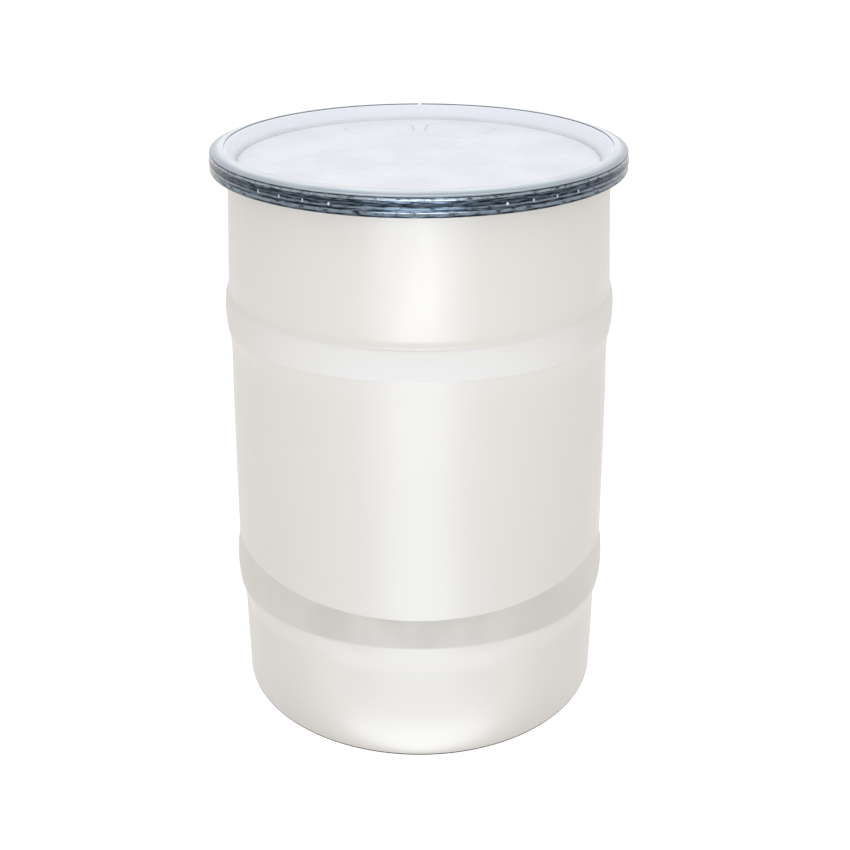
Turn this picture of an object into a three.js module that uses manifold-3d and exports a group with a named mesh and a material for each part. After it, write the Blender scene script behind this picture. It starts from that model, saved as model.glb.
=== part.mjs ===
// Open-head plastic drum of about 30 US gallons: a blow-moulded body with two rolling hoops,
// a recessed lid with a rubber gasket, and a galvanised closing ring drawn tight by a lever.
//
// Millimetres, +Z up. The origin is the centre of the base, on the floor. The ring's lever
// closure is on the +Y side. Angles round the ring are degrees from +Y towards +X.

import * as THREE from "three";
import { mergeVertices } from "three/addons/utils/BufferGeometryUtils.js";
import Module from "manifold-3d";

const wasm = await Module();
wasm.setup();

// ---------- driving dimensions ----------

const TURNED_SEGMENTS = 48; // the same for every turned piece, so that gaps stay even
const RIVET_SEGMENTS = 16;
const SLIT = 0.3; // gap kept between neighbouring pieces

const WALL = 4; // moulded wall of the drum
const BASE_RADIUS = 247;
const BASE_CORNER = 4;
const BASE_RECESS = { radius: 184, depth: 4 };
const FOOT_SLOPE_TOP = { r: 247.6, z: 60 };
const LOWER_HOOP = {
  bottom: { r: 247.9, z: 131 },
  peak: { r: 255.5, z: 180 },
  top: { r: 251.6, z: 214 },
};
const UPPER_HOOP = {
  bottom: { r: 245.1, z: 504 },
  peak: { r: 250.4, z: 545 },
  top: { r: 244.6, z: 577 },
};
const NECK = { r: 238.1, z: 692 };
const MOUTH_RADIUS = 233.9;
const LIP = { radius: 250.7, underside: 727, top: 737, rootZ: 722.6 };

const LID_PANEL = { radius: 222.5, top: 731, thickness: 3 };
const LID_CHANNEL_TOP = 741.4; // underside of the rim, above the gasket
const LID_PLUG = { radius: 233.2, top: 735.4 };
const LID_RIM = { inner: 236.8, outer: 252, top: 748.4, shoulder: 744.6 };
const LID_SKIRT = { inner: 251.4, outer: 253.3, bottom: 733.5 };
const LID_PAD = { inner: 112, outer: 189, height: 0.8, from: 4, to: 33 };

const GASKET = { inner: 237, outer: 249.4, bottom: 737.3, top: 741.1, chamfer: 0.8 };

const RING_RADIUS = 258;
const RING_SHEET = 1.4;
const RING_CREST = { r: 239.3, z: 750.2 }; // inner edge of the sloping top flange
const RING_SHOULDER = { r: 256.6, z: 745.3 };
const RING_BAND = { bottom: 725.5, top: 743.4 };
const RING_BOTTOM = 722;
const RING_HOOK_INNER = 247;
const RING_GAP_ANGLE = 0.4; // half of the gap between the band's ends

// The closure is symmetric about one horizontal plane; heights are measured from it.
const CLOSURE_Z = 735;
const LINK_HALF_HEIGHT = 3;
const PLATE_HALF_HEIGHT = 5;
const EAR = { inner: 3.5, outer: 5, radius: 3.6 };
const LEVER_CHANNEL = { inner: 5.3, outer: 6.8 };
const RIVET = { radius: 1.5, headRadius: 2.6, headFrom: 7.1, headTo: 8 };
const RIVET_HOLE_RADIUS = RIVET.radius + SLIT;

const PLATE = { inner: 258.45, outer: 259.6 };
const FULCRUM = { r: 262.8, angle: 3.6 };
const DRAW_PIVOT = { r: 261.8, angle: 7.3 };
const LEVER = { inner: 259.1, outer: 266.5, web: 1.5, webAngle: 11.2, endAngle: 27 };
const LEVER_LIP = { r: 270, angle: 30 };
const LINK_BAR = 1.8;
const LINK_EYE_RADIUS = 3.2;
const CATCH_TAB = { left: -32.6, right: -30.6, top: 263.6 };
const LINK_HOOK = { cornerY: 265.4, tipY: 260.6 };
const SEAL_EYE = { angle: 22, width: 9, top: 274, holeR: 269.9, holeRadius: 2.5, plate: 2 };

const plasticWhite = { color: 0xe3e1dd, roughness: 0.42, metalness: 0 };
const lidWhite = { color: 0xf1f3f6, roughness: 0.4, metalness: 0 };
const rubberGrey = { color: 0x2c2d2f, roughness: 0.8, metalness: 0 };
const zincSteel = { color: 0x9aa4ad, roughness: 0.32, metalness: 1 };
const rivetSteel = { color: 0xb4b9bd, roughness: 0.3, metalness: 1 };

// ---------- geometry helpers ----------

const radians = THREE.MathUtils.degToRad;

function polar(r, angle) {
  return new THREE.Vector2(r * Math.sin(radians(angle)), r * Math.cos(radians(angle)));
}

function points(pairs) {
  return pairs.map(([r, z]) => new THREE.Vector2(r, z));
}

// Turns a profile of (radius, height) about +Z. The profile runs up its outer side.
function turned(profile, segments = TURNED_SEGMENTS) {
  return new THREE.LatheGeometry(profile, segments).rotateX(Math.PI / 2);
}

function closedProfile(pairs) {
  const profile = points(pairs);
  profile.push(profile[0].clone());
  return profile;
}

// A plan outline standing between two heights.
function upright(shape, bottom, top, curveSegments = 12) {
  const geometry = new THREE.ExtrudeGeometry(shape, {
    depth: top - bottom,
    bevelEnabled: false,
    curveSegments,
  });
  return geometry.translate(0, 0, bottom);
}

// The plan of a strip that follows the ring, between two radii and two angles.
function strip(inner, outer, fromAngle, toAngle) {
  const start = radians(90 - toAngle);
  const end = radians(90 - fromAngle);
  const shape = new THREE.Shape();
  shape.absarc(0, 0, outer, start, end, false);
  shape.absarc(0, 0, inner, end, start, true);
  shape.closePath();
  return shape;
}

function disc(centre, radius) {
  const shape = new THREE.Shape();
  shape.absarc(centre.x, centre.y, radius, 0, 2 * Math.PI, false);
  return shape;
}

function polygon(corners) {
  return new THREE.Shape(corners.map(([x, y]) => new THREE.Vector2(x, y)));
}

function solid(geometry) {
  const bare = geometry.clone();
  bare.deleteAttribute("normal");
  bare.deleteAttribute("uv");
  const merged = mergeVertices(bare, 1e-4);
  const triangles = [];
  for (let i = 0; i < merged.index.count; i += 3) {
    const [a, b, c] = [0, 1, 2].map((k) => merged.index.getX(i + k));
    if (a !== b && b !== c && c !== a) {
      triangles.push(a, b, c);
    }
  }
  const mesh = new wasm.Mesh({
    numProp: 3,
    vertProperties: new Float32Array(merged.attributes.position.array),
    triVerts: new Uint32Array(triangles),
  });
  return new wasm.Manifold(mesh);
}

function surface(body) {
  const mesh = body.getMesh();
  const geometry = new THREE.BufferGeometry();
  geometry.setAttribute("position", new THREE.BufferAttribute(mesh.vertProperties, 3));
  geometry.setIndex(new THREE.BufferAttribute(mesh.triVerts, 1));
  geometry.computeVertexNormals();
  return geometry;
}

function part(name, geometry, look) {
  const mesh = new THREE.Mesh(geometry, new THREE.MeshStandardMaterial(look));
  mesh.name = name;
  return mesh;
}

// ---------- drum body ----------

// A quarter arc from the floor up to the wall, (radius, height) about its own centre.
function cornerArc(outerRadius, size, steps) {
  return Array.from({ length: steps + 1 }, (_, i) => {
    const turn = (i / steps) * (Math.PI / 2);
    return [
      outerRadius - size + size * Math.sin(turn),
      size - size * Math.cos(turn),
    ];
  });
}

// A rolling hoop: the wall swells from one level to the peak and falls back, smoothly.
function hoopCurve(hoop, steps) {
  const swell = (from, to, i) => {
    const t = i / steps;
    const eased = (1 - Math.cos(Math.PI * t)) / 2;
    return [from.r + (to.r - from.r) * eased, from.z + (to.z - from.z) * t];
  };
  const rise = Array.from({ length: steps + 1 }, (_, i) => swell(hoop.bottom, hoop.peak, i));
  const fall = Array.from({ length: steps }, (_, i) => swell(hoop.peak, hoop.top, i + 1));
  return [...rise, ...fall];
}

function wallLine(hoopSteps) {
  return [
    [FOOT_SLOPE_TOP.r, FOOT_SLOPE_TOP.z],
    ...hoopCurve(LOWER_HOOP, hoopSteps),
    ...hoopCurve(UPPER_HOOP, hoopSteps),
    [NECK.r, NECK.z],
  ];
}

function drumBody() {
  const outside = [
    [0, BASE_RECESS.depth],
    [BASE_RECESS.radius - BASE_RECESS.depth, BASE_RECESS.depth],
    [BASE_RECESS.radius, 0],
    ...cornerArc(BASE_RADIUS, BASE_CORNER, 3),
    ...wallLine(4),
    [NECK.r, LIP.rootZ],
    [LIP.radius, LIP.underside],
    [LIP.radius, LIP.top - 1],
    [LIP.radius - 1, LIP.top],
    [MOUTH_RADIUS + 2, LIP.top],
    [MOUTH_RADIUS, LIP.top - 2],
  ];
  const innerWall = wallLine(2).map(([r, z]) => [r - WALL, z]);
  const floorZ = BASE_RECESS.depth + WALL;
  const inside = [
    ...innerWall.reverse(),
    [BASE_RADIUS - WALL, floorZ + BASE_CORNER],
    [BASE_RADIUS - WALL - BASE_CORNER, floorZ],
    [0, floorZ],
  ];
  return part("drum_body", turned(points([...outside, ...inside])), plasticWhite);
}

// ---------- lid and gasket ----------

function lidShell() {
  const panelBottom = LID_PANEL.top - LID_PANEL.thickness;
  return turned(
    points([
      [0, panelBottom],
      [LID_PANEL.radius + 4, panelBottom],
      [LID_PANEL.radius + 7.1, panelBottom + 2.1],
      [LID_PLUG.radius, LID_PLUG.top],
      [LID_RIM.inner - 0.6, LID_CHANNEL_TOP],
      [LID_SKIRT.inner - 0.8, LID_CHANNEL_TOP],
      [LID_SKIRT.inner, LID_CHANNEL_TOP - 0.8],
      [LID_SKIRT.inner, LID_SKIRT.bottom],
      [LID_SKIRT.outer, LID_SKIRT.bottom],
      [LID_SKIRT.outer, LID_RIM.shoulder - 2.2],
      [LID_RIM.outer, LID_RIM.shoulder],
      [LID_RIM.inner + 1.8, LID_RIM.top],
      [LID_RIM.inner, LID_RIM.top - 0.3],
      [LID_PLUG.radius - 4, LID_PLUG.top + 1.8],
      [LID_PANEL.radius + 3.1, LID_PANEL.top + 1],
      [LID_PANEL.radius, LID_PANEL.top],
      [0, LID_PANEL.top],
    ]),
  );
}

// Two shallow raised pads stiffen the back half of the panel, one each side of the middle.
function lid() {
  const sunk = 0.6;
  let body = solid(lidShell());
  for (const side of [-1, 1]) {
    const angles = [side * LID_PAD.from, side * LID_PAD.to].sort((a, b) => a - b);
    const pad = strip(LID_PAD.inner, LID_PAD.outer, ...angles);
    body = body.add(solid(upright(pad, LID_PANEL.top - sunk, LID_PANEL.top + LID_PAD.height, 6)));
  }
  return part("lid", surface(body), lidWhite);
}

function gasket() {
  const { inner, outer, bottom, top, chamfer } = GASKET;
  const profile = closedProfile([
    [inner, bottom],
    [outer, bottom],
    [outer, top - chamfer],
    [outer - chamfer, top],
    [inner + chamfer, top],
    [inner, top - chamfer],
  ]);
  return part("gasket", turned(profile), rubberGrey);
}

// ---------- closing ring ----------

// The rolled section: hook under the drum's lip, upright band, shoulder, and a flange that
// slopes up and in over the lid's rim.
function ringBand() {
  const inside = RING_RADIUS - RING_SHEET;
  const hookTop = RING_BOTTOM + RING_SHEET;
  return turned(
    closedProfile([
      [RING_HOOK_INNER, RING_BOTTOM],
      [RING_RADIUS - 2.4, RING_BOTTOM],
      [RING_RADIUS - 0.6, RING_BOTTOM + 1.2],
      [RING_RADIUS, RING_BAND.bottom],
      [RING_RADIUS, RING_BAND.top],
      [RING_SHOULDER.r, RING_SHOULDER.z],
      [RING_CREST.r, RING_CREST.z],
      [RING_CREST.r, RING_CREST.z - RING_SHEET],
      [RING_SHOULDER.r - 0.7, RING_SHOULDER.z - RING_SHEET],
      [inside, RING_BAND.top - 0.4],
      [inside, RING_BAND.bottom + 0.4],
      [inside - 1.6, hookTop],
      [RING_HOOK_INNER, hookTop],
    ]),
  );
}

// One half of the band: side is +1 for the half at +X, -1 for the half at -X.
function ringHalf(name, side) {
  const reach = 2 * RING_RADIUS;
  const cut = (side * SLIT) / 2;
  const gapEnd = polar(reach, side * RING_GAP_ANGLE);
  const outline = polygon([
    [cut, -reach],
    [side * reach, -reach],
    [side * reach, gapEnd.y],
    [gapEnd.x, gapEnd.y],
    [cut, cut / Math.tan(radians(side * RING_GAP_ANGLE))],
  ]);
  const keep = solid(upright(outline, RING_BOTTOM - 5, RING_CREST.z + 5));
  return part(name, surface(solid(ringBand()).intersect(keep)), zincSteel);
}

// The tongue is fixed inside the right end and slides inside the left end.
function gapBridge() {
  const inner = RING_RADIUS - 3.6;
  const tongue = strip(inner, inner + 1.1, -6.5, 9);
  return part("gap_bridge", upright(tongue, CLOSURE_Z - 4, CLOSURE_Z + 4), zincSteel);
}

// ---------- lever closure ----------

function about(half, shape, curveSegments) {
  return solid(upright(shape, CLOSURE_Z - half, CLOSURE_Z + half, curveSegments));
}

// The same plan outline above and below the closure's middle plane.
function pair(from, to, shape, curveSegments) {
  const upper = solid(upright(shape, CLOSURE_Z + from, CLOSURE_Z + to, curveSegments));
  const lower = solid(upright(shape, CLOSURE_Z - to, CLOSURE_Z - from, curveSegments));
  return upper.add(lower);
}

function pivotHole(pivot) {
  return about(2 * LEVER_CHANNEL.outer, disc(polar(pivot.r, pivot.angle), RIVET_HOLE_RADIUS), 8);
}

function leverBracket() {
  const centre = polar(FULCRUM.r, FULCRUM.angle);
  const foot = polar(PLATE.inner + 0.5, FULCRUM.angle);
  const neck = polygon([
    [foot.x - EAR.radius, foot.y],
    [foot.x + EAR.radius, foot.y],
    [centre.x + EAR.radius, centre.y],
    [centre.x - EAR.radius, centre.y],
  ]);
  const plate = about(PLATE_HALF_HEIGHT, strip(PLATE.inner, PLATE.outer, 2.4, 6.2));
  const ears = pair(EAR.inner, EAR.outer, disc(centre, EAR.radius), 10).add(
    pair(EAR.inner, EAR.outer, neck),
  );
  const body = plate.add(ears).subtract(pivotHole(FULCRUM));
  return part("lever_bracket", surface(body), zincSteel);
}

// A rivet on a pivot's axis: a headed shank, with a second head where it is set.
function rivet(name, pivot, profile) {
  const centre = polar(pivot.r, pivot.angle);
  const mesh = part(name, turned(points(profile), RIVET_SEGMENTS), rivetSteel);
  mesh.position.set(centre.x, centre.y, CLOSURE_Z);
  return mesh;
}

function rivetHead() {
  return [
    [RIVET.radius, RIVET.headFrom],
    [RIVET.headRadius, RIVET.headFrom],
    [RIVET.headRadius, RIVET.headTo - 0.3],
    [RIVET.headRadius - 0.8, RIVET.headTo],
    [0, RIVET.headTo],
  ];
}

function mirrored(profile) {
  return profile.map(([r, z]) => [r, -z]).reverse();
}

// The lever turns on two short rivets, so that the link can pass between them.
function fulcrumRivets() {
  const upper = [[0, EAR.inner], [RIVET.radius, EAR.inner], ...rivetHead()];
  return [
    rivet("fulcrum_rivet_upper", FULCRUM, upper),
    rivet("fulcrum_rivet_lower", FULCRUM, mirrored(upper)),
  ];
}

function leverLinkRivet() {
  return rivet("lever_link_rivet", DRAW_PIVOT, [...mirrored(rivetHead()), ...rivetHead()]);
}

// A channel that follows the ring when closed. Its web stops short of the pivots, so that
// the link can swing out between the two flanges.
function lever() {
  const centre = polar(FULCRUM.r, FULCRUM.angle);
  const roundEnd = (LEVER.outer - LEVER.inner) / 2;
  const webInner = LEVER.outer - LEVER.web;
  const lipRoot = polar(webInner, LEVER.endAngle - 0.6);
  const lipRootOuter = polar(LEVER.outer, LEVER.endAngle - 0.6);
  const lipTip = polar(LEVER_LIP.r, LEVER_LIP.angle);
  const lipTipOuter = polar(LEVER_LIP.r + LEVER.web, LEVER_LIP.angle - 0.1);
  const blank = about(
    LEVER_CHANNEL.outer,
    strip(LEVER.inner, LEVER.outer, FULCRUM.angle, LEVER.endAngle),
    16,
  ).add(about(LEVER_CHANNEL.outer, disc(centre, roundEnd), 10));
  const hollow = about(
    LEVER_CHANNEL.inner,
    strip(LEVER.inner - 10, webInner, -5, LEVER.endAngle + 5),
    16,
  );
  const fork = about(
    LEVER_CHANNEL.inner,
    strip(LEVER.inner - 10, LEVER.outer + 10, -5, LEVER.webAngle),
  );
  const sealSlot = about(
    2.5,
    strip(webInner - 1, LEVER.outer + 1, SEAL_EYE.angle - 1.8, SEAL_EYE.angle + 1.8),
  );
  const fingerLip = about(
    LEVER_CHANNEL.inner,
    polygon([
      [lipRoot.x, lipRoot.y],
      [lipTip.x, lipTip.y],
      [lipTipOuter.x, lipTipOuter.y],
      [lipRootOuter.x, lipRootOuter.y],
    ]),
  );
  const body = blank
    .subtract(hollow)
    .subtract(fork)
    .subtract(sealSlot)
    .add(fingerLip)
    .subtract(pivotHole(FULCRUM))
    .subtract(pivotHole(DRAW_PIVOT));
  return part("lever", surface(body), zincSteel);
}

// The draw hook: an eye on the lever's second pivot, a flat bar, and a leg behind the catch.
function link() {
  const eye = polar(DRAW_PIVOT.r, DRAW_PIVOT.angle);
  const half = LINK_BAR / 2;
  const legX = CATCH_TAB.left - SLIT - half;
  const bar = polygon([
    [eye.x, eye.y - half],
    [eye.x, eye.y + half],
    [legX - half, LINK_HOOK.cornerY + half],
    [legX - half, LINK_HOOK.cornerY - half],
  ]);
  const leg = polygon([
    [legX - half, LINK_HOOK.tipY],
    [legX + half, LINK_HOOK.tipY],
    [legX + half, LINK_HOOK.cornerY],
    [legX - half, LINK_HOOK.cornerY],
  ]);
  const body = about(LINK_HALF_HEIGHT, bar)
    .add(about(LINK_HALF_HEIGHT, leg))
    .add(about(LINK_HALF_HEIGHT, disc(eye, LINK_EYE_RADIUS), 10))
    .subtract(pivotHole(DRAW_PIVOT));
  return part("link", surface(body), zincSteel);
}

function catchPlate() {
  const plate = about(PLATE_HALF_HEIGHT, strip(PLATE.inner, PLATE.outer, -10, -2.6));
  const tab = polygon([
    [CATCH_TAB.left, PLATE.inner - 1.4],
    [CATCH_TAB.right, PLATE.inner - 1.4],
    [CATCH_TAB.right, CATCH_TAB.top],
    [CATCH_TAB.left, CATCH_TAB.top],
  ]);
  const tabBody = about(PLATE_HALF_HEIGHT, tab).intersect(
    about(PLATE_HALF_HEIGHT, strip(PLATE.inner + 0.2, RING_RADIUS + 10, -12, 0)),
  );
  return part("catch_plate", surface(plate.add(tabBody)), zincSteel);
}

// The eye stands out through the lever's slot when the lever is closed.
function sealEye() {
  const halfAngle = 1.6;
  const foot = about(
    PLATE_HALF_HEIGHT,
    strip(PLATE.inner, PLATE.outer, SEAL_EYE.angle - halfAngle, SEAL_EYE.angle + halfAngle),
  );
  const half = SEAL_EYE.width / 2;
  const tongue = polygon([
    [-half, PLATE.inner + 0.4],
    [half, PLATE.inner + 0.4],
    [half, SEAL_EYE.top - 2],
    [half - 2, SEAL_EYE.top],
    [2 - half, SEAL_EYE.top],
    [-half, SEAL_EYE.top - 2],
  ]);
  const hole = disc(new THREE.Vector2(0, SEAL_EYE.holeR), SEAL_EYE.holeRadius);
  const turn = -SEAL_EYE.angle;
  const standing = about(SEAL_EYE.plate / 2, tongue)
    .subtract(about(SEAL_EYE.plate, hole, 8))
    .rotate([0, 0, turn]);
  return part("seal_eye", surface(foot.add(standing)), zincSteel);
}

// ---------- assembly ----------

const drum = new THREE.Group();
drum.add(drumBody(), lid(), gasket());

const closingRing = new THREE.Group();
closingRing.add(
  ringHalf("ring_band_right", 1),
  ringHalf("ring_band_left", -1),
  gapBridge(),
  leverBracket(),
  ...fulcrumRivets(),
  lever(),
  link(),
  leverLinkRivet(),
  catchPlate(),
  sealEye(),
);
drum.add(closingRing);

export default drum;
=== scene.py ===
import math

import bmesh
import bpy
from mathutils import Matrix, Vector


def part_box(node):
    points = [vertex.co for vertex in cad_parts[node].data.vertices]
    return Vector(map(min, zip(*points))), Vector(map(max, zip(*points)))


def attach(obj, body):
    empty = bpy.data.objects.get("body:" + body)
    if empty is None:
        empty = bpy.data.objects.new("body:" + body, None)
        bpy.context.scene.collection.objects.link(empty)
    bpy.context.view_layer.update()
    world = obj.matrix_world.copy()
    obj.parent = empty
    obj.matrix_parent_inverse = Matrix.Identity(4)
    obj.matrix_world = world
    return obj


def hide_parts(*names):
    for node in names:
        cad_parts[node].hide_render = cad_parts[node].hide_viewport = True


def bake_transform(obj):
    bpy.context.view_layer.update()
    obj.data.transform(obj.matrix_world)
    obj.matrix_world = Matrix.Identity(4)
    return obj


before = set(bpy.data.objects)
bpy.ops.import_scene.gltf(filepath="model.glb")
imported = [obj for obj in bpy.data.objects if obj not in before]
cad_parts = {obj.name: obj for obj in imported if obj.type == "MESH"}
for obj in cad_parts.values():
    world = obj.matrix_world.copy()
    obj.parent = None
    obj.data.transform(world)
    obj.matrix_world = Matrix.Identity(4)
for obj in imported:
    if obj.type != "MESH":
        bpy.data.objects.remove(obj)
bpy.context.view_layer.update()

# Looks of a plastic open-head drum with a lid, a gasket and a lever-locked steel closing ring.
# The drum stands on the floor with its axis on +Z. Outlines are (radius, height) in
# millimetres; meshes are in metres. Angles are degrees from the front, -Y, towards +X.

MM = 0.001


def size_of(node):
    low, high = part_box(node)
    return low / MM, high / MM


RING_LOW, RING_HIGH = size_of("ring_band_right")
LID_LOW, LID_HIGH = size_of("lid")
BODY_HIGH = size_of("drum_body")[1]
GASKET_LOW, GASKET_HIGH = size_of("gasket")

# How finely the pieces are made: steps in a turn, points in a fillet, and the angle in
# degrees above which an edge stays sharp.
TURN_STEPS = 240
FILLET_POINTS = 6
SHARP_EDGE = 38

WALL = 4.0
FOOT_CORNER = 4.0
FOOT_RADIUS = 247.0
BASE_RECESS = (184.0, 4.0)
FLOOR_CORNER = {"top": 21.0, "reach": 40.0, "fillet": 10.0}
NECK_BOTTOM = 690.0
NECK_RADIUS = 238.1
MOUTH_RADIUS = 233.9
LIP_RADIUS = 250.7
LIP_UNDERSIDE = 727.0
LIP_ROOT = 722.6

# The two rolling hoops' flat bands: lowest and highest height at the front, and by what
# share of its height each band grows taller towards the sides.
LOWER_BAND = (172.4, 211.4)
UPPER_BAND = (529.6, 567.8)
LOWER_SPREAD = 0.8
UPPER_SPREAD = 0.3
BAND_PROUD = 0.3
BAND_GROOVE = {"width": 1.0, "depth": 0.5}
BAND_SOFT = 1.1
# Ridges where the mould's halves met: angles, how proud and wide, and between which heights.
PARTING = {"angles": (90, 270), "proud": 0.35, "width": 0.16, "from": 8, "to": 700}
# Height and radius of the wall's outer face.
WALL_LINE = [
    (FOOT_CORNER, FOOT_RADIUS),
    (60, 247.6),
    (116, 247.8),
    (132, 248.4),
    (147, 251.4),
    (159, 254.2),
    (181, 255.2),
    (201, 253.9),
    (214, 251.6),
    (240, 251.0),
    (330, 249.4),
    (420, 247.4),
    (490, 245.3),
    (508, 246.0),
    (524, 248.7),
    (546, 249.9),
    (563, 248.6),
    (577, 244.8),
    (600, 243.3),
    (645, 240.8),
    (NECK_BOTTOM, NECK_RADIUS + 0.4),
    (LIP_ROOT, NECK_RADIUS - 0.3),
]

RING_RADIUS = RING_HIGH.x
RING_TOP = RING_HIGH.z
RING_BOTTOM = RING_LOW.z
RING_CREST = 239.3
RING_SHEET = 1.4
RING_HOOK = 247.0
RING_SHOULDER = 745.2
RING_GAP = 0.4
RING_STEPS = 420
RING_LINE_SOFT = 0.5
BEAD = {"height": 733.8, "half": 2.4, "proud": 0.9}

# Painted highlight lines round the ring, along its beads and shoulder: lowest height, highest
# height and colour.
RING_HIGHLIGHTS = [
    (725.0, 728.2, (0.20, 0.24, 0.28, 1)),
    (731.2, 733.2, (0.17, 0.21, 0.25, 1)),
    (735.6, 737.0, (0.08, 0.11, 0.14, 1)),
    (741.0, 743.6, (0.28, 0.32, 0.36, 1)),
]
# Small pressed marks on the ring's middle rib, each with a bright spot of painted highlight:
# angle each side of the front.
MARK_ANGLES = [21.8, 29.1, 36.3, 43.6]
MARK = {"height": 733.6, "half_height": 2.2, "half_angle": 0.34, "depth": 0.7, "bright": 1.9}

CLOSURE_Z = 735.0
RIVET = {"shank": 1.5, "root": 3.5, "head_from": 7.1, "head_to": 8.0}
# Piece, CAD node, body, and the rounding of its pressed edges.
CLOSURE_PIECES = [
    ("band_tongue", "gap_bridge", "ring_right", 0.2),
    ("fulcrum_bracket", "lever_bracket", "ring_right", 0.22),
    ("seal_tab", "seal_eye", "ring_right", 0.3),
    ("lever_channel", "lever", "lever", 0.35),
    ("draw_hook", "link", "link", 0.35),
    ("catch_block", "catch_plate", "ring_left", 0.22),
]
RIVETS = [
    ("rivet_upper", "fulcrum_rivet_upper", "ring_right"),
    ("rivet_lower", "fulcrum_rivet_lower", "ring_right"),
    ("rivet_draw", "lever_link_rivet", "lever"),
]

LID_PANEL_RADIUS = 222.5
LID_PANEL_TOP = 731.0
LID_PAD = {"inner": 112.0, "outer": 189.0, "height": 0.8, "from": 4.0, "to": 33.0, "corner": 12.0}


# ---------- meshes ----------


def smooth_steps(points, spacing):
    """A smooth line through (height, radius) points, as points about spacing apart."""
    line = []
    for i in range(len(points) - 1):
        p0 = points[max(i - 1, 0)]
        p1, p2 = points[i], points[i + 1]
        p3 = points[min(i + 2, len(points) - 1)]
        slope1 = (p2[1] - p0[1]) / (p2[0] - p0[0])
        slope2 = (p3[1] - p1[1]) / (p3[0] - p1[0])
        span = p2[0] - p1[0]
        steps = max(2, round(span / spacing))
        for k in range(steps):
            t = k / steps
            h00 = 2 * t**3 - 3 * t**2 + 1
            h10 = t**3 - 2 * t**2 + t
            h01 = -2 * t**3 + 3 * t**2
            h11 = t**3 - t**2
            radius = h00 * p1[1] + h10 * span * slope1 + h01 * p2[1] + h11 * span * slope2
            line.append((p1[0] + t * span, radius))
    line.append(points[-1])
    return line


def rounded(corners):
    """Corners of (radius, height, fillet) as an outline of (radius, height)."""
    outline = []
    count = len(corners)
    for i, (r, z, fillet) in enumerate(corners):
        here = Vector((r, z))
        if fillet <= 0:
            outline.append(here)
            continue
        before = Vector(corners[i - 1][:2])
        after = Vector(corners[(i + 1) % count][:2])
        into = (before - here).normalized() * min(fillet, (before - here).length * 0.49)
        out = (after - here).normalized() * min(fillet, (after - here).length * 0.49)
        for k in range(FILLET_POINTS):
            t = k / (FILLET_POINTS - 1)
            outline.append(here + into * (1 - t) ** 2 + out * t**2)
    return [(p.x, p.y) for p in outline]


def even_angles(count):
    return [360.0 * i / count for i in range(count)]


def build_mesh(name, vertices, faces):
    mesh = bpy.data.meshes.new(name)
    mesh.from_pydata(vertices, [], faces)
    mesh.validate()
    mesh.shade_smooth()
    mesh.set_sharp_from_angle(angle=math.radians(SHARP_EDGE))
    made = bpy.data.objects.new(name, mesh)
    bpy.context.scene.collection.objects.link(made)
    return made


def revolve(name, outline, angles, whole=True, relief=None):
    """Turns an outline about +Z. It closes on itself, or starts and ends on the axis."""
    on_axis = abs(outline[0][0]) < 1e-6
    rows = outline[1:-1] if on_axis else outline
    vertices = []
    for angle in angles:
        turn = math.radians(angle)
        for r, z in rows:
            if relief:
                r, z = relief(r, z, angle)
            vertices.append((r * MM * math.sin(turn), -r * MM * math.cos(turn), z * MM))
    per = len(rows)
    count = len(angles)
    faces = []
    for i in range(count if whole else count - 1):
        here, there = i * per, ((i + 1) % count) * per
        for k in range(per - 1 if on_axis else per):
            n = (k + 1) % per
            faces.append((here + k, there + k, there + n, here + n))
    if on_axis:
        vertices.append((0, 0, outline[0][1] * MM))
        vertices.append((0, 0, outline[-1][1] * MM))
        first, last = len(vertices) - 2, len(vertices) - 1
        for i in range(count):
            here, there = i * per, ((i + 1) % count) * per
            faces.append((first, there, here))
            faces.append((last, here + per - 1, there + per - 1))
    if not whole:
        faces.append(tuple(range(per)))
        faces.append(tuple(range((count - 1) * per + per - 1, (count - 1) * per - 1, -1)))
    return build_mesh(name, vertices, faces)


def smoothstep(low, high, x):
    t = min(max((x - low) / (high - low), 0), 1)
    return t * t * (3 - 2 * t)


def bell(x, centre, width):
    return math.exp(-(((x - centre) / width) ** 2))


# ---------- drum body ----------


def band_relief(z, sideways):
    """The hoops' bands stand slightly proud, with a fine groove along each edge."""
    change = 0
    for (low, high), spread in ((LOWER_BAND, LOWER_SPREAD), (UPPER_BAND, UPPER_SPREAD)):
        middle = (low + high) / 2
        half = (high - low) / 2 * (1 + spread * sideways)
        fade = 1 - 0.7 * sideways
        low, high = middle - half, middle + half
        proud = smoothstep(low, low + 2, z) * (1 - smoothstep(high - 2, high, z))
        groove = bell(z, low, BAND_GROOVE["width"]) + bell(z, high, BAND_GROOVE["width"])
        change += fade * (BAND_PROUD * proud - BAND_GROOVE["depth"] * groove)
    return change


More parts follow.
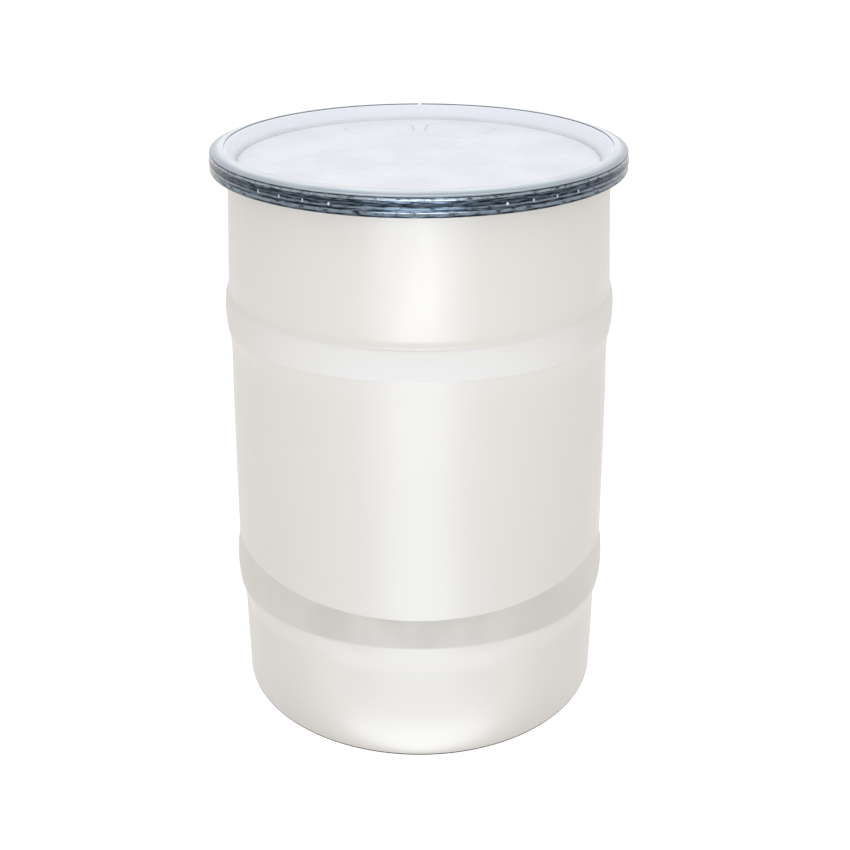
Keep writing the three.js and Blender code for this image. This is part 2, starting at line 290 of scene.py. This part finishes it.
def drum_outline():
    recess_radius, recess_depth = BASE_RECESS
    foot = [
        (0, recess_depth),
        (recess_radius - 12, recess_depth),
        (recess_radius - 7, recess_depth - 0.6),
        (recess_radius - 3, recess_depth - 3.2),
        (recess_radius, 0),
    ]
    corner = []
    steps = 9
    for k in range(steps):
        turn = math.radians(90 * k / steps)
        r = FOOT_RADIUS - FOOT_CORNER + FOOT_CORNER * math.sin(turn)
        corner.append((r, FOOT_CORNER - FOOT_CORNER * math.cos(turn)))
    wall = [(r, z) for z, r in smooth_steps(WALL_LINE, 1.0)]
    lip = rounded(
        [
            (LIP_RADIUS, LIP_UNDERSIDE, 1.2),
            (LIP_RADIUS, BODY_HIGH.z, 1.6),
            (MOUTH_RADIUS, BODY_HIGH.z, 1.8),
            (MOUTH_RADIUS, NECK_BOTTOM, 2),
        ]
    )
    floor = recess_depth + WALL
    low, high = FLOOR_CORNER["top"] - 1, NECK_BOTTOM - 2
    inner = [(r - WALL, z) for z, r in smooth_steps(WALL_LINE, 8.0) if low < z < high]
    three_corners = rounded(
        [
            (FOOT_RADIUS - WALL, FLOOR_CORNER["top"], 1),
            (FOOT_RADIUS - WALL, floor, FLOOR_CORNER["fillet"]),
            (FOOT_RADIUS - FLOOR_CORNER["reach"], floor, 1),
        ]
    )
    inner_corner = three_corners[FILLET_POINTS : 2 * FILLET_POINTS]
    return foot + corner + wall + lip + inner[::-1] + inner_corner + [(0, floor)]


def shadow_film_outline():
    """A thin dark film round the foot's lower corner: painted contact shadow, and dirt."""
    outline = []
    for reach, turns in ((0.12, range(18, 79, 6)), (-0.3, range(78, 17, -6))):
        for turn in turns:
            out = math.sin(math.radians(turn)) * (FOOT_CORNER + reach)
            up = FOOT_CORNER - math.cos(math.radians(turn)) * (FOOT_CORNER + reach)
            outline.append((FOOT_RADIUS - FOOT_CORNER + out, up))
    return outline


def drum_angles():
    """Even steps, with fine ones at the two mould parting lines."""
    steps = (-0.5, -0.25, -0.12, 0.12, 0.25, 0.5)
    fine = [side + step for side in PARTING["angles"] for step in steps]
    return sorted(set(even_angles(TURN_STEPS) + fine))


def drum_relief(r, z, angle):
    """Slight unevenness of the wall, a ridge at each parting line, and the hoops' bands."""
    parting = min(abs(angle - side) for side in PARTING["angles"])
    inside = PARTING["from"] < z < PARTING["to"]
    ridge = PARTING["proud"] * bell(parting, 0, PARTING["width"]) if inside else 0
    turn = math.radians(angle)
    uneven = 0.16 * math.sin(2 * turn + 0.6) + 0.1 * math.sin(3 * turn + z / 140)
    uneven += 0.06 * math.sin(5 * turn - z / 90)
    change = ridge - PARTING["proud"] + uneven + band_relief(z, math.sin(turn) ** 2)
    return r + change * (1 - smoothstep(695, LIP_ROOT, z)), z


# ---------- lid ----------


def lid_outline():
    panel_bottom = LID_LOW.z
    under = rounded(
        [
            (LID_PANEL_RADIUS + 2, panel_bottom, 1),
            (LID_PANEL_RADIUS + 7.1, panel_bottom + 1.6, 2),
            (233.2, 735.4, 2),
            (236.2, 741.4, 1),
            (250.9, 741.4, 1),
            (251.4, 733.5, 0.6),
            (253.3, 733.5, 0.6),
            (253.3, 742.9, 1.5),
            (251.5, 744.6, 2.5),
            (238.8, LID_HIGH.z - 0.1, 1.6),
            (236.9, 747.6, 1.2),
            (229.4, 736.8, 2.5),
            (226.0, LID_PANEL_TOP, 2.2),
        ]
    )
    panel = [(r, LID_PANEL_TOP) for r in panel_radii()]
    return [(0, panel_bottom)] + under + panel + [(0, LID_PANEL_TOP)]


def panel_radii():
    """From the panel's edge inwards, closer together where the pads begin and end."""
    radii, r = [], LID_PANEL_RADIUS - 2
    while r > 3:
        radii.append(r)
        edge = min(abs(r - LID_PAD["inner"]), abs(r - LID_PAD["outer"]))
        r -= 0.6 if edge < 9 else 2.5
    return radii


def lid_angles():
    """Even steps, with fine ones at the pads' ends."""
    fine = []
    for side in (-1, 1):
        for end in (LID_PAD["from"], LID_PAD["to"]):
            fine += [180 + side * (end + 0.25 * k) for k in range(-12, 13)]
    even = [e for e in even_angles(TURN_STEPS) if min(abs(e - f) for f in fine) > 0.1]
    return sorted(even + fine)


def pad_height(r, angle):
    """Two low raised pads on the back half of the lid, one each side of the middle."""
    from_back = abs(180 - angle)
    side = math.radians(from_back - (LID_PAD["from"] + LID_PAD["to"]) / 2) * r
    half_arc = math.radians(LID_PAD["to"] - LID_PAD["from"]) / 2 * r
    middle = (LID_PAD["inner"] + LID_PAD["outer"]) / 2
    half_depth = (LID_PAD["outer"] - LID_PAD["inner"]) / 2
    corner = LID_PAD["corner"]
    across = max(abs(r - middle) - half_depth + corner, 0)
    along = max(abs(side) - half_arc + corner, 0)
    outside = math.hypot(across, along) - corner
    back = smoothstep(middle - 10, middle + 10, r)
    groove = (0.25 + 0.75 * back) * bell(outside, 3.2, 1.3)
    return LID_PAD["height"] * (1 - smoothstep(-1.6, 0.2, outside)) - groove


def lid_relief(r, z, angle):
    if z < LID_PANEL_TOP - 0.5 or r > LID_PANEL_RADIUS:
        return r, z
    turn = math.radians(angle)
    x, y = r * math.sin(turn), -r * math.cos(turn)
    fade = 1 - smoothstep(LID_PANEL_RADIUS - 30, LID_PANEL_RADIUS, r)
    uneven = 0.2 * math.sin(x / 31 + 0.8) * math.sin(y / 37 + 0.3)
    uneven += 0.12 * math.sin(x / 17 - y / 23)
    return r, z + pad_height(r, angle) + fade * (uneven - 0.15)


# ---------- closing ring ----------


def ring_outline():
    """The rolled section, with a raised bead round the middle of the band."""
    face = RING_RADIUS - BEAD["proud"]
    inside = face - RING_SHEET
    low, half = BEAD["height"] - BEAD["half"], BEAD["half"]
    outer = [
        (RING_HOOK, RING_BOTTOM, 0.5),
        (face - 0.2, RING_BOTTOM, 2.0),
        (RING_RADIUS, RING_BOTTOM + 2.7, 1.0),
        (face, RING_BOTTOM + 4.9, 0.8),
        (face, low - 0.8, 0.6),
        (RING_RADIUS, low + half * 0.5, 0.9),
        (RING_RADIUS, low + half * 1.5, 0.9),
        (face, low + 2 * half + 0.8, 0.6),
        (face - 0.2, 742.6, 1.2),
        (RING_RADIUS - 1.4, RING_SHOULDER - 0.1, 1.8),
        (RING_RADIUS - 3.6, RING_SHOULDER + 0.2, 1.0),
        (RING_RADIUS - 5.0, RING_SHOULDER + 1.1, 0.8),
        (RING_CREST + 1.6, RING_TOP - 0.25, 1.0),
        (RING_CREST, RING_TOP - 0.05, 0.5),
        (RING_CREST, RING_TOP - RING_SHEET, 0.5),
        (RING_RADIUS - 3.4, RING_SHOULDER - RING_SHEET, 1.6),
        (inside, 741.6, 1.0),
        (inside, RING_BOTTOM + RING_SHEET + 1.4, 1.2),
        (inside - 2.4, RING_BOTTOM + RING_SHEET, 1.0),
        (RING_HOOK, RING_BOTTOM + RING_SHEET, 0.5),
    ]
    return rounded(outer)


def ring_angles():
    """Even steps between the band's ends, with fine ones across each pressed mark."""
    start = -180 + RING_GAP
    span = 360 - 2 * RING_GAP
    even = [start + span * i / RING_STEPS for i in range(RING_STEPS + 1)]
    reach = 2 * MARK["half_angle"]
    fine = []
    for side in (-1, 1):
        for angle in MARK_ANGLES:
            fine += [side * angle + reach * k / 6 for k in range(-6, 7)]
    clear = [e for e in even if min(abs(e - f) for f in fine) > 0.05]
    return sorted(clear + fine)


def mark_at(angle):
    return max(bell(abs(angle), centre, MARK["half_angle"]) for centre in MARK_ANGLES)


def ring_relief(r, z, angle):
    if r < RING_RADIUS - BEAD["proud"] - 0.2:
        return r, z
    pressed = mark_at(angle) * bell(z, MARK["height"], MARK["half_height"])
    return r - MARK["depth"] * pressed, z


# ---------- materials ----------


def new_material(name):
    material = bpy.data.materials.new(name)
    material.use_nodes = True
    return material, material.node_tree, material.node_tree.nodes["Principled BSDF"]


def add(tree, kind, inputs=None, **settings):
    made = tree.nodes.new(kind)
    for key, value in settings.items():
        setattr(made, key, value)
    for key, value in (inputs or {}).items():
        if isinstance(value, bpy.types.NodeSocket):
            tree.links.new(value, made.inputs[key])
        else:
            made.inputs[key].default_value = value
    return made


def math_node(tree, operation, a, b=0.0):
    return add(tree, "ShaderNodeMath", {0: a, 1: b}, operation=operation).outputs[0]


def ramp(tree, value, low, high, start=0.0, end=1.0):
    made = add(
        tree,
        "ShaderNodeMapRange",
        {"Value": value, "From Min": low, "From Max": high, "To Min": start, "To Max": end},
        interpolation_type="SMOOTHSTEP",
    )
    return made.outputs[0]


def window(tree, value, low, high, soft):
    """1 between two values and 0 outside them, with soft edges."""
    rise = ramp(tree, value, low - soft, low + soft)
    fall = ramp(tree, value, high - soft, high + soft, 1.0, 0.0)
    return math_node(tree, "MULTIPLY", rise, fall)


def blend_colour(tree, factor, first, second):
    made = add(tree, "ShaderNodeMix", {0: factor, 6: first, 7: second}, data_type="RGBA")
    return made.outputs[2]


def object_place(tree):
    place = add(tree, "ShaderNodeTexCoord").outputs["Object"]
    return place, add(tree, "ShaderNodeSeparateXYZ", {0: place})


def closed_place(tree):
    """Where each point lies with the ring closed, whatever the pose."""
    place = add(tree, "ShaderNodeAttribute", attribute_name="closed_place").outputs["Vector"]
    return add(tree, "ShaderNodeSeparateXYZ", {0: place})


def texture(tree, place, scale, detail=3.0, stretch=(1, 1, 1)):
    moved = add(tree, "ShaderNodeMapping", {"Vector": place, "Scale": stretch})
    made = add(
        tree,
        "ShaderNodeTexNoise",
        {"Vector": moved.outputs[0], "Scale": scale, "Detail": detail},
    )
    return made.outputs["Fac"]


def bump(tree, shader, heights):
    """Chains (height, distance in metres) pairs into the shader's normal."""
    normal = None
    for height, distance in heights:
        inputs = {"Height": height, "Distance": distance, "Strength": 1.0}
        if normal:
            inputs["Normal"] = normal
        normal = add(tree, "ShaderNodeBump", inputs).outputs[0]
    tree.links.new(normal, shader.inputs["Normal"])


def side_share(tree, axes):
    """0 at the drum's front and back, 1 at its two sides."""
    square = [math_node(tree, "POWER", axes.outputs[axis], 2.0) for axis in "XY"]
    total = math_node(tree, "ADD", square[0], square[1])
    return math_node(tree, "DIVIDE", square[0], total)


def painted_hoop_band(tree, height, sideways, band, spread):
    """1 inside a hoop's band, which grows taller and fainter towards the sides: the mask for the
    painted shade and painted light on the bands.
    """
    middle, half = (band[0] + band[1]) / 2 * MM, (band[1] - band[0]) / 2 * MM
    away = math_node(tree, "ABSOLUTE", math_node(tree, "SUBTRACT", height, middle))
    grown = math_node(tree, "ADD", math_node(tree, "MULTIPLY", sideways, spread), 1.0)
    even = math_node(tree, "DIVIDE", away, grown)
    inside = ramp(tree, even, half - BAND_SOFT * MM, half + BAND_SOFT * MM, 1, 0)
    return math_node(tree, "MULTIPLY", inside, ramp(tree, sideways, 0.1, 1.0, 1.0, 0.2))


def drum_plastic():
    material, tree, shader = new_material("drum_plastic")
    place, axes = object_place(tree)
    height = axes.outputs["Z"]
    sideways = side_share(tree, axes)
    lower = painted_hoop_band(tree, height, sideways, LOWER_BAND, LOWER_SPREAD)
    upper = painted_hoop_band(tree, height, sideways, UPPER_BAND, UPPER_SPREAD)
    mottle = texture(tree, place, 7.0, 4.0)
    base = blend_colour(tree, mottle, (0.499, 0.467, 0.431, 1), (0.522, 0.489, 0.452, 1))
    # The lower hoop's band is painted darker and blotchy: painted shade, fading towards the
    # sides.
    band_blotch = ramp(tree, texture(tree, place, 16.0, 5.0, (1, 1, 0.5)), 0.3, 0.7)
    band_shade = blend_colour(tree, band_blotch, (0.405, 0.378, 0.345, 1), (0.455, 0.428, 0.392, 1))
    # The upper hoop's band is painted lighter: painted light, fading towards the sides.
    banded = blend_colour(tree, upper, base, (0.535, 0.515, 0.495, 1))
    banded = blend_colour(tree, lower, banded, band_shade)
    tree.links.new(banded, shader.inputs["Base Color"])
    scuff = texture(tree, place, 60.0, 6.0, (1, 1, 0.15))
    sheen = ramp(tree, scuff, 0.3, 0.8, 0.33, 0.41)
    shader.inputs["Specular IOR Level"].default_value = 0.9
    handled = math_node(tree, "MULTIPLY", math_node(tree, "ADD", lower, upper), 0.5)
    tree.links.new(math_node(tree, "ADD", sheen, handled), shader.inputs["Roughness"])
    peel = texture(tree, place, 420.0, 2.0)
    bump(tree, shader, [(mottle, 0.0008), (peel, 0.00006)])
    return material


def lid_plastic():
    material, tree, shader = new_material("lid_plastic")
    place, axes = object_place(tree)
    blotch = texture(tree, place, 14.0, 5.0)
    colour = blend_colour(
        tree, ramp(tree, blotch, 0.3, 0.7), (0.55, 0.56, 0.60, 1), (0.60, 0.61, 0.645, 1)
    )
    height = axes.outputs["Z"]
    # Lighter and bluer above the panel, on the lid's wall and rim: painted light.
    wall_light = ramp(tree, height, (LID_PANEL_TOP + 1.5) * MM, (LID_PANEL_TOP + 4.5) * MM)
    # Darker below the panel's top face, in the pads' grooves and on the underside: painted shade.
    groove_shade = ramp(tree, height, (LID_PANEL_TOP - 1.2) * MM, (LID_PANEL_TOP - 0.4) * MM, 0.45, 0.0)
    colour = blend_colour(tree, groove_shade, colour, (0.30, 0.31, 0.34, 1))
    colour = blend_colour(tree, wall_light, colour, (0.635, 0.65, 0.70, 1))
    tree.links.new(colour, shader.inputs["Base Color"])
    fine = texture(tree, place, 90.0, 4.0)
    tree.links.new(ramp(tree, fine, 0.3, 0.7, 0.34, 0.46), shader.inputs["Roughness"])
    peel = texture(tree, place, 380.0, 2.0)
    bump(tree, shader, [(blotch, 0.0009), (peel, 0.00006)])
    return material


# Near-black matte colour for the film at the foot: painted contact shadow, and dirt.
def foot_shadow_and_dirt():
    material, tree, shader = new_material("foot_shadow_and_dirt")
    place, _ = object_place(tree)
    speckle = texture(tree, place, 260.0, 5.0)
    colour = blend_colour(tree, speckle, (0.006, 0.005, 0.002, 1), (0.03, 0.024, 0.012, 1))
    tree.links.new(colour, shader.inputs["Base Color"])
    shader.inputs["Specular IOR Level"].default_value = 0.0
    tree.links.new(ramp(tree, speckle, 0.2, 0.8, 0.85, 1.0), shader.inputs["Roughness"])
    bump(tree, shader, [(speckle, 0.0001)])
    return material


def gasket_rubber():
    material, tree, shader = new_material("gasket_rubber")
    place, _ = object_place(tree)
    dust = texture(tree, place, 120.0, 5.0)
    colour = blend_colour(tree, dust, (0.02, 0.02, 0.022, 1), (0.05, 0.05, 0.052, 1))
    tree.links.new(colour, shader.inputs["Base Color"])
    tree.links.new(ramp(tree, dust, 0.2, 0.8, 0.6, 0.85), shader.inputs["Roughness"])
    bump(tree, shader, [(texture(tree, place, 900.0, 2.0), 0.00005)])
    return material


def angle_round(tree, axes):
    front = math_node(tree, "MULTIPLY", axes.outputs["Y"], -1.0)
    return math_node(tree, "ARCTAN2", axes.outputs["X"], front)


def ring_place(tree, axes):
    """The angle round the ring and the height, as a vector for streaks."""
    turn = angle_round(tree, axes)
    return add(tree, "ShaderNodeCombineXYZ", {0: turn, 1: axes.outputs["Z"]}).outputs[0]


def ring_zinc():
    """Zinc plate drawn round the ring, with painted light and shade: the top flange painted pale,
    the band painted near-black as dark reflections, with painted highlight lines and glints.
    """
    material, tree, shader = new_material("ring_zinc")
    axes = closed_place(tree)
    height = axes.outputs["Z"]
    around = angle_round(tree, axes)
    wrapped = ring_place(tree, axes)
    streak = texture(tree, wrapped, 1.0, 3.0, (3.0, 420.0, 1))
    fine = texture(tree, wrapped, 1.0, 4.0, (16.0, 520.0, 1))
    line_breaks = ramp(tree, texture(tree, wrapped, 1.0, 4.0, (26.0, 240.0, 1)), 0.3, 0.55)
    pale = blend_colour(tree, streak, (0.50, 0.54, 0.57, 1), (0.82, 0.87, 0.92, 1))
    shaded = blend_colour(tree, streak, (0.22, 0.26, 0.30, 1), (0.46, 0.51, 0.56, 1))
    # The flange's colour runs from shaded at its outer edge to pale at its crest: painted shade
    # and painted light.
    climb = ramp(tree, height, (RING_SHOULDER + 1) * MM, (RING_SHOULDER + 4) * MM)
    top = blend_colour(tree, climb, shaded, pale)
    # The band's near-black colour is painted shade, standing in for dark reflections.
    dark = blend_colour(
        tree, ramp(tree, fine, 0.4, 0.72), (0.008, 0.012, 0.018, 1), (0.12, 0.15, 0.19, 1)
    )
    colour = dark
    # Painted highlights along the beads and shoulder, broken up by streaks.
    for low, high, shade in RING_HIGHLIGHTS:
        stripe = window(tree, height, low * MM, high * MM, RING_LINE_SOFT * MM)
        colour = blend_colour(tree, math_node(tree, "MULTIPLY", line_breaks, stripe), colour, shade)
    # A bright spot on each pressed mark: painted highlight.
    low, high = MARK["height"] - MARK["bright"], MARK["height"] + MARK["bright"]
    across = window(tree, height, low * MM, high * MM, RING_LINE_SOFT * MM)
    turn = math_node(tree, "ABSOLUTE", around)
    for angle in MARK_ANGLES:
        reach = 0.7 * MARK["half_angle"]
        near, far = math.radians(angle - reach), math.radians(angle + reach)
        glint_spot = math_node(tree, "MULTIPLY", across, window(tree, turn, near, far, 0.002))
        colour = blend_colour(tree, glint_spot, colour, (0.40, 0.46, 0.52, 1))
    flange = ramp(tree, height, (RING_SHOULDER - 0.5) * MM, (RING_SHOULDER + 0.2) * MM)
    colour = blend_colour(tree, flange, colour, top)
    tree.links.new(colour, shader.inputs["Base Color"])
    shader.inputs["Metallic"].default_value = 1.0
    tree.links.new(ramp(tree, fine, 0.2, 0.8, 0.18, 0.30), shader.inputs["Roughness"])
    bump(tree, shader, [(streak, 0.00005), (fine, 0.00002)])
    return material


def closure_steel(name, colour, roughness):
    material, tree, shader = new_material(name)
    place, axes = object_place(tree)
    wrapped = ring_place(tree, axes)
    brushed = texture(tree, wrapped, 1.0, 4.0, (40.0, 2200.0, 1))
    patch = texture(tree, place, 180.0, 4.0)
    dim = tuple(0.6 * c for c in colour) + (1,)
    mixed = blend_colour(tree, patch, dim, (*colour, 1))
    tree.links.new(mixed, shader.inputs["Base Color"])
    shader.inputs["Metallic"].default_value = 1.0
    tree.links.new(
        ramp(tree, brushed, 0.2, 0.8, roughness - 0.06, roughness + 0.1),
        shader.inputs["Roughness"],
    )
    bump(tree, shader, [(brushed, 0.00004), (patch, 0.00005)])
    return material


# ---------- the pieces ----------


def dress(piece, material, body=None, nodes=()):
    piece.data.materials.clear()
    piece.data.materials.append(material)
    if body:
        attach(piece, body)
    if nodes:
        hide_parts(*nodes)


def make_drum():
    shell = revolve("drum_shell", drum_outline(), drum_angles(), relief=drum_relief)
    dress(shell, drum_plastic(), "drum", ["drum_body"])
    # A dark film laid round the foot as painted contact shadow, with dirt.
    film = revolve("foot_shadow_film", shadow_film_outline(), even_angles(TURN_STEPS), relief=drum_relief)
    dress(film, foot_shadow_and_dirt(), "drum")


def make_lid():
    shell = revolve("lid_shell", lid_outline(), lid_angles(), relief=lid_relief)
    dress(shell, lid_plastic(), "lid", ["lid"])
    low, high = GASKET_LOW.z, GASKET_HIGH.z
    seal_outline = rounded(
        [
            (237.2, low, 1.2),
            (GASKET_HIGH.x, low, 1.2),
            (GASKET_HIGH.x, high, 1.8),
            (237.2, high, 1.8),
        ]
    )
    seal = revolve("gasket_ring", seal_outline, even_angles(TURN_STEPS))
    dress(seal, gasket_rubber(), "lid", ["gasket"])


def make_ring():
    band = revolve("ring_band", ring_outline(), ring_angles(), whole=False, relief=ring_relief)
    closed = band.data.attributes.new("closed_place", "FLOAT_VECTOR", "POINT")
    for vertex in band.data.vertices:
        closed.data[vertex.index].vector = vertex.co
    dress(band, ring_zinc(), None, ["ring_band_right", "ring_band_left"])
    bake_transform(band)


def softened(name, node, width):
    """A pressed piece: the node's shape, its flat faces joined and its edges rounded."""
    work = bmesh.new()
    work.from_mesh(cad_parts[node].data)
    bmesh.ops.remove_doubles(work, verts=work.verts, dist=2e-6)
    flat = math.radians(1)
    bmesh.ops.dissolve_limit(work, angle_limit=flat, verts=work.verts, edges=work.edges)
    corner = math.radians(SHARP_EDGE)
    edges = [e for e in work.edges if e.is_manifold and e.calc_face_angle() > corner]
    bmesh.ops.bevel(
        work,
        geom=edges,
        offset=width * MM,
        segments=3,
        profile=0.5,
        affect="EDGES",
        clamp_overlap=True,
    )
    bmesh.ops.triangulate(work, faces=[f for f in work.faces if len(f.verts) > 4])
    mesh = bpy.data.meshes.new(name)
    work.to_mesh(mesh)
    work.free()
    mesh.validate()
    mesh.shade_smooth()
    mesh.set_sharp_from_angle(angle=math.radians(32))
    made = bpy.data.objects.new(name, mesh)
    bpy.context.scene.collection.objects.link(made)
    return made


def rivet_head(radius, low, high):
    """A domed head with a short straight rim, from its underside to its crown."""
    rim = low + 0.35 * (high - low)
    dome = []
    for k in range(7):
        turn = math.radians(90 * k / 6)
        dome.append((radius * math.cos(turn), rim + (high - rim) * math.sin(turn)))
    return [(radius, low)] + dome[:-1], (0, high)


def rivet(name, node, body, material):
    """Turns the node's rivet afresh: shank, and a domed head at each end that it has."""
    low, high = size_of(node)
    centre = (low + high) / 2
    both = high.z - low.z > 2 * RIVET["head_from"]
    head, crown = rivet_head((high.x - low.x) / 2, RIVET["head_from"], RIVET["head_to"])
    if both:
        lower = [(r, -z) for r, z in reversed(head)]
        outline = [(0, -RIVET["head_to"])] + lower + [(RIVET["shank"], -RIVET["head_from"])]
    else:
        outline = [(0, RIVET["root"]), (RIVET["shank"], RIVET["root"])]
    outline += [(RIVET["shank"], RIVET["head_from"])] + head + [crown]
    if centre.z < CLOSURE_Z - 1:
        outline = [(r, -z) for r, z in reversed(outline)]
    made = revolve(name, outline, even_angles(40))
    made.location = Vector((centre.x, centre.y, CLOSURE_Z)) * MM
    dress(made, material, body, [node])


def make_closure():
    zinc = closure_steel("closure_zinc", (0.46, 0.49, 0.53), 0.34)
    steel = closure_steel("rivet_steel", (0.60, 0.62, 0.64), 0.3)
    for name, node, body, width in CLOSURE_PIECES:
        dress(softened(name, node, width), zinc, body, [node])
    for name, node, body in RIVETS:
        rivet(name, node, body, steel)


# ---------- stage ----------

# The stage is in metres. Its low panels lie in front of the drum: name, near and far edge,
# width, radiance and colour.
COOL = (0.70, 0.85, 1.0)
PALE = (0.88, 0.94, 1.0)
FLOOR_PANELS = [
    ("panel_foot", 0.254, 0.34, 1.0, 0.7, PALE),
    ("panel_near", 0.254, 0.5, 0.28, 0.9, COOL),
    ("panel_middle", 0.5, 1.0, 0.42, 2.1, COOL),
    ("panel_far", 1.0, 2.1, 1.0, 1.9, COOL),
    ("panel_ring", 2.6, 4.0, 2.4, 12.0, PALE),
]
PANEL_HEIGHT = 0.002
SOFTBOX = {"place": (0, -0.4, 3.2), "target": (0, 0, 0.7), "side": 2.6, "power": 25}
FLOOR_REACH = 60
PAPER_GREY = 0.12
SKY = 1.08

# Fitted to the picture, with the drum's height as the scale.
CAMERA = {"place": (0.0075, -1.587, 1.0944), "below_level": 24.77, "lens": 54.34, "sensor": 36}


def area_light(name, place, target, width, height, power, colour=(1, 1, 1)):
    data = bpy.data.lights.new(name, "AREA")
    data.shape = "RECTANGLE"
    data.size = width
    data.size_y = height
    data.energy = power
    data.color = colour
    lamp = bpy.data.objects.new(name, data)
    lamp.location = place
    lamp.rotation_euler = (Vector(target) - Vector(place)).to_track_quat("-Z", "Y").to_euler()
    lamp.visible_camera = False
    bpy.context.scene.collection.objects.link(lamp)


def make_floor():
    """A sheet that shines, so it runs into the white background and shows little shadow."""
    reach = FLOOR_REACH
    corners = [(-reach, -reach, 0), (reach, -reach, 0), (reach, reach, 0), (-reach, reach, 0)]
    floor = build_mesh("floor", corners, [(0, 1, 2, 3)])
    material, _, shader = new_material("floor_paper")
    shader.inputs["Base Color"].default_value = (PAPER_GREY, PAPER_GREY, PAPER_GREY, 1)
    shader.inputs["Emission Color"].default_value = (1, 1, 1, 1)
    shader.inputs["Emission Strength"].default_value = 1.0
    shader.inputs["Roughness"].default_value = 0.9
    shader.inputs["Specular IOR Level"].default_value = 0.0
    floor.data.materials.append(material)


def make_stage():
    make_floor()
    world = bpy.data.worlds.new("studio")
    world.use_nodes = True
    background = world.node_tree.nodes["Background"]
    background.inputs["Color"].default_value = (1, 1, 1, 1)
    background.inputs["Strength"].default_value = SKY
    bpy.context.scene.world = world
    bpy.context.scene.view_settings.view_transform = "Standard"
    side = SOFTBOX["side"]
    area_light("top_softbox", SOFTBOX["place"], SOFTBOX["target"], side, side, SOFTBOX["power"])
    for name, near, far, width, radiance, colour in FLOOR_PANELS:
        depth = far - near
        power = radiance * math.pi * width * depth
        place = (0, -(near + far) / 2, PANEL_HEIGHT)
        area_light(name, place, place[:2] + (1,), width, depth, power, colour)


def make_camera():
    data = bpy.data.cameras.new("camera")
    data.sensor_width = CAMERA["sensor"]
    data.lens = CAMERA["lens"]
    data.dof.use_dof = False
    camera = bpy.data.objects.new("camera", data)
    camera.location = CAMERA["place"]
    camera.rotation_euler = (math.radians(90 - CAMERA["below_level"]), 0, 0)
    bpy.context.scene.collection.objects.link(camera)
    bpy.context.scene.camera = camera


make_drum()
make_lid()
make_ring()
make_closure()
make_stage()
make_camera()
